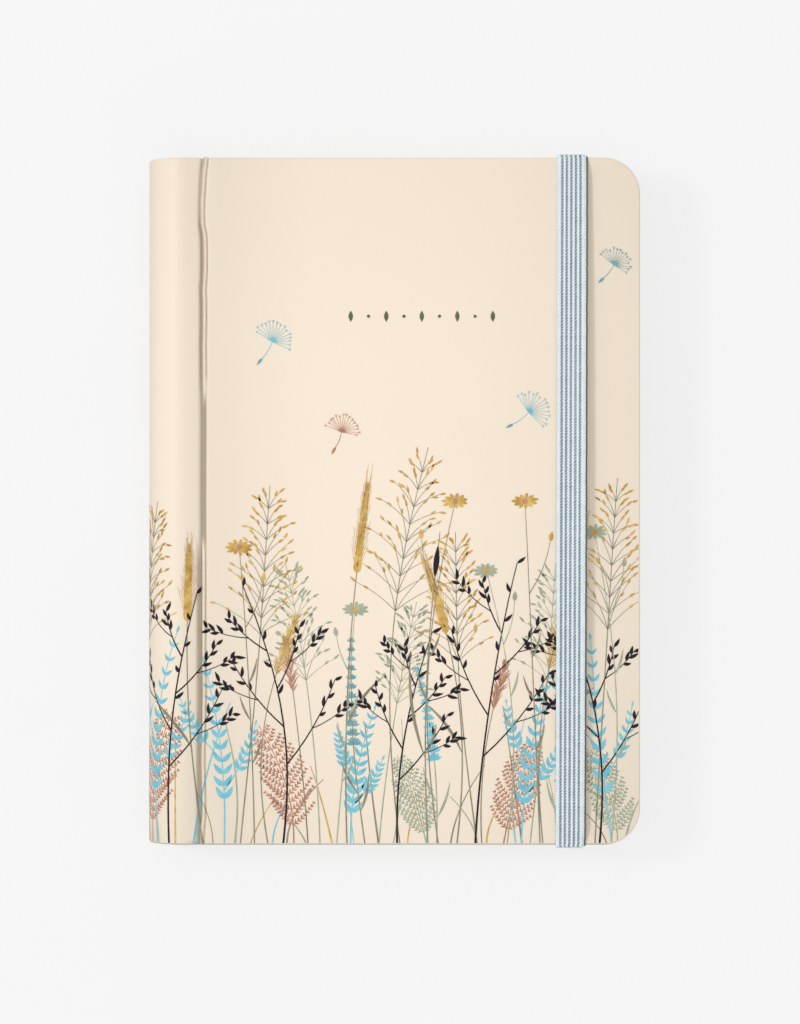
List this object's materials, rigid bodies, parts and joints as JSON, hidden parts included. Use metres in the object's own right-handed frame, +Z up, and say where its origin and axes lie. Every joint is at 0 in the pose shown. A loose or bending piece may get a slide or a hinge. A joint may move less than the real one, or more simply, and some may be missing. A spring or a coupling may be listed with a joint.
{
  "type": "address book",
  "caption": "Small hardcover address book: paper-covered boards, round spine over a twin-loop wire, tabbed index sections that turn on the wire, and an elastic band that holds it shut.",
  "frame": {"origin": "centre of the footprint on the table, under the back cover", "axes": "+X to the fore-edge, +Y to the head, +Z up through the front cover"},
  "size_m": [0.127, 0.1798, 0.0207],
  "materials": {
    "cover_paper": "satin, lightly raised print",
    "board": "matte grey board",
    "endpaper": "matte",
    "divider_card": "matte card",
    "leaf_paper": "matte",
    "wire": "satin",
    "elastic": "woven, ribbed"
  },
  "bodies": {
    "back_cover": {"back_board": "board", "back_cover_wrap": "cover_paper", "back_endpaper": "endpaper", "binding_strip": "divider_card", "twin_loop_wire": "wire"},
    "spine_1": {"spine_wrap_1": "cover_paper", "spine_liner_1": "endpaper"},
    "spine_2": {"spine_wrap_2": "cover_paper", "spine_liner_2": "endpaper"},
    "spine_3": {"spine_wrap_3": "cover_paper", "spine_liner_3": "endpaper"},
    "spine_4": {"spine_wrap_4": "cover_paper", "spine_liner_4": "endpaper"},
    "spine_5": {"spine_wrap_5": "cover_paper", "spine_liner_5": "endpaper"},
    "front_cover": {"front_board": "board", "front_cover_wrap": "cover_paper", "front_endpaper": "endpaper"},
    "title_page": {"title_leaf": "divider_card"},
    "section_ab": {"divider_ab": "divider_card", "leaves_ab": "leaf_paper"},
    "section_cd": {"divider_cd": "divider_card", "leaves_cd": "leaf_paper"},
    "section_ef": {"divider_ef": "divider_card", "leaves_ef": "leaf_paper"},
    "section_gh": {"divider_gh": "divider_card", "leaves_gh": "leaf_paper"},
    "section_ij": {"divider_ij": "divider_card", "leaves_ij": "leaf_paper"},
    "section_kl": {"divider_kl": "divider_card", "leaves_kl": "leaf_paper"},
    "section_mn": {"divider_mn": "divider_card", "leaves_mn": "leaf_paper"},
    "section_op": {"divider_op": "divider_card", "leaves_op": "leaf_paper"},
    "section_qr": {"divider_qr": "divider_card", "leaves_qr": "leaf_paper"},
    "section_st": {"divider_st": "divider_card", "leaves_st": "leaf_paper"},
    "section_uvw": {"divider_uvw": "divider_card", "leaves_uvw": "leaf_paper"},
    "section_xyz": {"divider_xyz": "divider_card", "leaves_xyz": "leaf_paper"},
    "closure_band": {"elastic_band": "elastic"}
  },
  "joints": [
    {"name": "book_open", "type": "hinge", "parent": "back_cover", "child": "section_ab", "pos_m": [-0.05355, 0, 0.00995], "axis": [0, -1, 0], "range_deg": [0, 180]},
    {"name": "title_leaf_turn", "type": "hinge", "parent": "back_cover", "child": "title_page", "pos_m": [-0.05355, 0, 0.00995], "axis": [0, -1, 0], "range_deg": [0, 180]},
    {"name": "section_cd_turn", "type": "hinge", "parent": "back_cover", "child": "section_cd", "pos_m": [-0.05355, 0, 0.00995], "axis": [0, -1, 0], "range_deg": [0, 177]},
    {"name": "section_ef_turn", "type": "hinge", "parent": "back_cover", "child": "section_ef", "pos_m": [-0.05355, 0, 0.00995], "axis": [0, -1, 0], "range_deg": [0, 174]},
    {"name": "section_gh_turn", "type": "hinge", "parent": "back_cover", "child": "section_gh", "pos_m": [-0.05355, 0, 0.00995], "axis": [0, -1, 0], "range_deg": [0, 171]},
    {"name": "section_ij_turn", "type": "hinge", "parent": "back_cover", "child": "section_ij", "pos_m": [-0.05355, 0, 0.00995], "axis": [0, -1, 0], "range_deg": [0, 168]},
    {"name": "section_kl_turn", "type": "hinge", "parent": "back_cover", "child": "section_kl", "pos_m": [-0.05355, 0, 0.00995], "axis": [0, -1, 0], "range_deg": [0, 165]},
    {"name": "section_mn_turn", "type": "hinge", "parent": "back_cover", "child": "section_mn", "pos_m": [-0.05355, 0, 0.00995], "axis": [0, -1, 0], "range_deg": [0, 16.5]},
    {"name": "section_op_turn", "type": "hinge", "parent": "back_cover", "child": "section_op", "pos_m": [-0.05355, 0, 0.00995], "axis": [0, -1, 0], "range_deg": [0, 13.5]},
    {"name": "section_qr_turn", "type": "hinge", "parent": "back_cover", "child": "section_qr", "pos_m": [-0.05355, 0, 0.00995], "axis": [0, -1, 0], "range_deg": [0, 10.5]},
    {"name": "section_st_turn", "type": "hinge", "parent": "back_cover", "child": "section_st", "pos_m": [-0.05355, 0, 0.00995], "axis": [0, -1, 0], "range_deg": [0, 7.5]},
    {"name": "section_uvw_turn", "type": "hinge", "parent": "back_cover", "child": "section_uvw", "pos_m": [-0.05355, 0, 0.00995], "axis": [0, -1, 0], "range_deg": [0, 4.5]},
    {"name": "section_xyz_turn", "type": "hinge", "parent": "back_cover", "child": "section_xyz", "pos_m": [-0.05355, 0, 0.00995], "axis": [0, -1, 0], "range_deg": [0, 1.5]},
    {"name": "spine_swing", "type": "hinge", "parent": "back_cover", "child": "spine_3", "pos_m": [-0.06136, 0, 0.00265], "axis": [0, -1, 0], "range_deg": [0, 90]},
    {"name": "front_cover_swing", "type": "hinge", "parent": "spine_3", "child": "front_cover", "pos_m": [-0.06136, 0, 0.01724], "axis": [0, -1, 0], "range_deg": [0, 90]},
    {"name": "spine_bend_2", "type": "hinge", "parent": "spine_3", "child": "spine_2", "pos_m": [-0.06301, 0, 0.00687], "axis": [0, 1, 0], "range_deg": [0, 36]},
    {"name": "spine_bend_1", "type": "hinge", "parent": "spine_2", "child": "spine_1", "pos_m": [-0.0594, 0, 0.0019], "axis": [0, 1, 0], "range_deg": [0, 48.88]},
    {"name": "spine_bend_3", "type": "hinge", "parent": "spine_3", "child": "spine_4", "pos_m": [-0.06301, 0, 0.01302], "axis": [0, -1, 0], "range_deg": [0, 36]},
    {"name": "spine_bend_4", "type": "hinge", "parent": "spine_4", "child": "spine_5", "pos_m": [-0.0594, 0, 0.01799], "axis": [0, -1, 0], "range_deg": [0, 48.88]},
    {"name": "band_release", "type": "slide", "parent": "back_cover", "child": "closure_band", "axis": [0.7942, 0, -0.6076], "range_m": [0, 0.03274], "deforming": ["elastic_band"]}
  ],
  "couplings": [
    {"joint": "title_leaf_turn", "follows": "book_open", "ratio": 1},
    {"joint": "section_cd_turn", "follows": "book_open", "ratio": 0.98333},
    {"joint": "section_ef_turn", "follows": "book_open", "ratio": 0.96667},
    {"joint": "section_gh_turn", "follows": "book_open", "ratio": 0.95},
    {"joint": "section_ij_turn", "follows": "book_open", "ratio": 0.93333},
    {"joint": "section_kl_turn", "follows": "book_open", "ratio": 0.91667},
    {"joint": "section_mn_turn", "follows": "book_open", "ratio": 0.091667},
    {"joint": "section_op_turn", "follows": "book_open", "ratio": 0.075},
    {"joint": "section_qr_turn", "follows": "book_open", "ratio": 0.058333},
    {"joint": "section_st_turn", "follows": "book_open", "ratio": 0.041667},
    {"joint": "section_uvw_turn", "follows": "book_open", "ratio": 0.025},
    {"joint": "section_xyz_turn", "follows": "book_open", "ratio": 0.0083333},
    {"joint": "spine_swing", "follows": "book_open", "ratio": 0.5},
    {"joint": "front_cover_swing", "follows": "book_open", "ratio": 0.5},
    {"joint": "spine_bend_2", "follows": "book_open", "ratio": 0.2},
    {"joint": "spine_bend_1", "follows": "book_open", "ratio": 0.27158},
    {"joint": "spine_bend_3", "follows": "book_open", "ratio": 0.2},
    {"joint": "spine_bend_4", "follows": "book_open", "ratio": 0.27158},
    {"joint": "band_release", "follows": "book_open", "m_per_rad": 0.01042}
  ]
}
